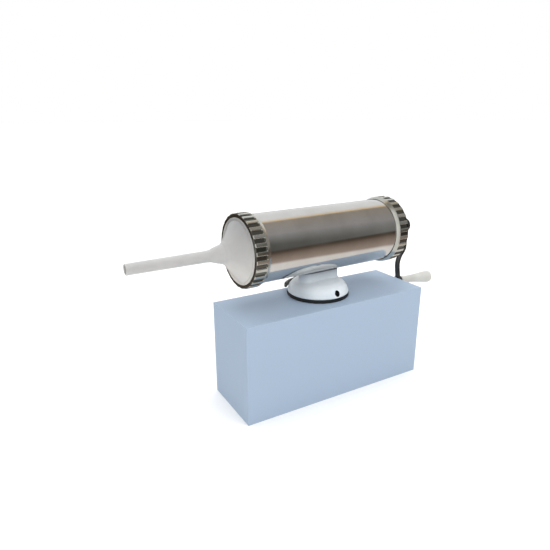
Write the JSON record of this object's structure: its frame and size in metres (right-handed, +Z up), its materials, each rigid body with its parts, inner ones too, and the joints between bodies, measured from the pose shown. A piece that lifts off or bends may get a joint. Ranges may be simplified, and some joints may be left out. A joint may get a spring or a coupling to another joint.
{
  "type": "sausage stuffer",
  "caption": "Horizontal sausage stuffer: steel barrel on a cast suction foot, plastic stuffing funnel, screw-driven piston and hand crank.",
  "frame": {"origin": "centre of the suction foot's underside", "axes": "+X along the barrel from the spout to the crank, +Z up"},
  "size_m": [0.4897, 0.0964, 0.1502],
  "materials": {
    "stainless": "polished",
    "nut_alloy": "satin",
    "spout_plastic": "translucent satin",
    "cast_paint": "semi-gloss",
    "rubber": "matte",
    "seal_rubber": "matte",
    "cover_plastic": "satin",
    "dark_steel": "satin",
    "zinc_steel": "zinc plated",
    "bronze": "machined",
    "grip_plastic": "satin"
  },
  "bodies": {
    "stand": {"barrel_tube": "stainless", "foot_casting": "cast_paint", "saddle_rivet_1": "zinc_steel", "saddle_rivet_2": "zinc_steel", "saddle_rivet_3": "zinc_steel", "saddle_rivet_4": "zinc_steel", "suction_cup": "rubber"},
    "front_unit": {"stuffing_funnel": "spout_plastic", "front_gasket": "seal_rubber"},
    "front_nut": {"front_ring_nut": "nut_alloy"},
    "rear_unit": {"rear_cover": "cover_plastic", "spindle_bush": "bronze", "rear_gasket": "seal_rubber"},
    "rear_nut": {"rear_ring_nut": "nut_alloy"},
    "piston_unit": {"piston": "cover_plastic", "piston_seal": "seal_rubber"},
    "crank": {"spindle": "zinc_steel", "piston_washer": "zinc_steel", "piston_screw": "zinc_steel", "crank_arm": "dark_steel", "crank_nut": "zinc_steel", "grip_axle": "zinc_steel", "grip_nut": "zinc_steel"},
    "grip_body": {"grip": "grip_plastic"},
    "vacuum_lever": {"lever_shaft": "zinc_steel", "lever": "zinc_steel", "lever_pin": "zinc_steel", "shaft_clip": "zinc_steel"},
    "cup_lifter": {"cup_stud": "zinc_steel", "cup_plate": "zinc_steel"}
  },
  "joints": [
    {"name": "front_unit_slide", "type": "slide", "parent": "stand", "child": "front_unit", "axis": [-1, 0, 0], "range_m": [0, 0.0141]},
    {"name": "front_nut_turn", "type": "hinge", "parent": "front_unit", "child": "front_nut", "pos_m": [-0.1243, 0, 0.0785], "axis": [-1, 0, 0], "range_deg": [0, 1440]},
    {"name": "rear_unit_slide", "type": "slide", "parent": "stand", "child": "rear_unit", "axis": [1, 0, 0], "range_m": [0, 0.0141]},
    {"name": "rear_nut_turn", "type": "hinge", "parent": "rear_unit", "child": "rear_nut", "pos_m": [0.1214, 0, 0.0785], "axis": [1, 0, 0], "range_deg": [0, 1440]},
    {"name": "piston_slide", "type": "slide", "parent": "rear_unit", "child": "piston_unit", "axis": [1, 0, 0], "range_m": [0, 0.1801]},
    {"name": "crank_turn", "type": "hinge", "parent": "piston_unit", "child": "crank", "pos_m": [0.15, 0, 0.0785], "axis": [1, 0, 0], "range_deg": [0, 10800]},
    {"name": "grip_spin", "type": "hinge", "parent": "crank", "child": "grip_body", "pos_m": [0.1573, 0, -0.0098], "axis": [0.9968, 0, -0.0802], "continuous": true},
    {"name": "vacuum_lever_turn", "type": "hinge", "parent": "stand", "child": "vacuum_lever", "pos_m": [0, 0, 0.0109], "axis": [-0.0523, 0.9986, 0], "range_deg": [0, 110]},
    {"name": "cup_lift", "type": "slide", "parent": "stand", "child": "cup_lifter", "axis": [0, 0, 1], "range_m": [0, 0.0024]}
  ],
  "couplings": [
    {"joint": "front_unit_slide", "follows": "front_nut_turn", "m_per_rad": 0.00055704},
    {"joint": "rear_unit_slide", "follows": "rear_nut_turn", "m_per_rad": 0.00055704},
    {"joint": "piston_slide", "follows": "crank_turn", "m_per_rad": 0.00095493},
    {"joint": "cup_lift", "follows": "vacuum_lever_turn", "m_per_rad": 0.0011928}
  ]
}
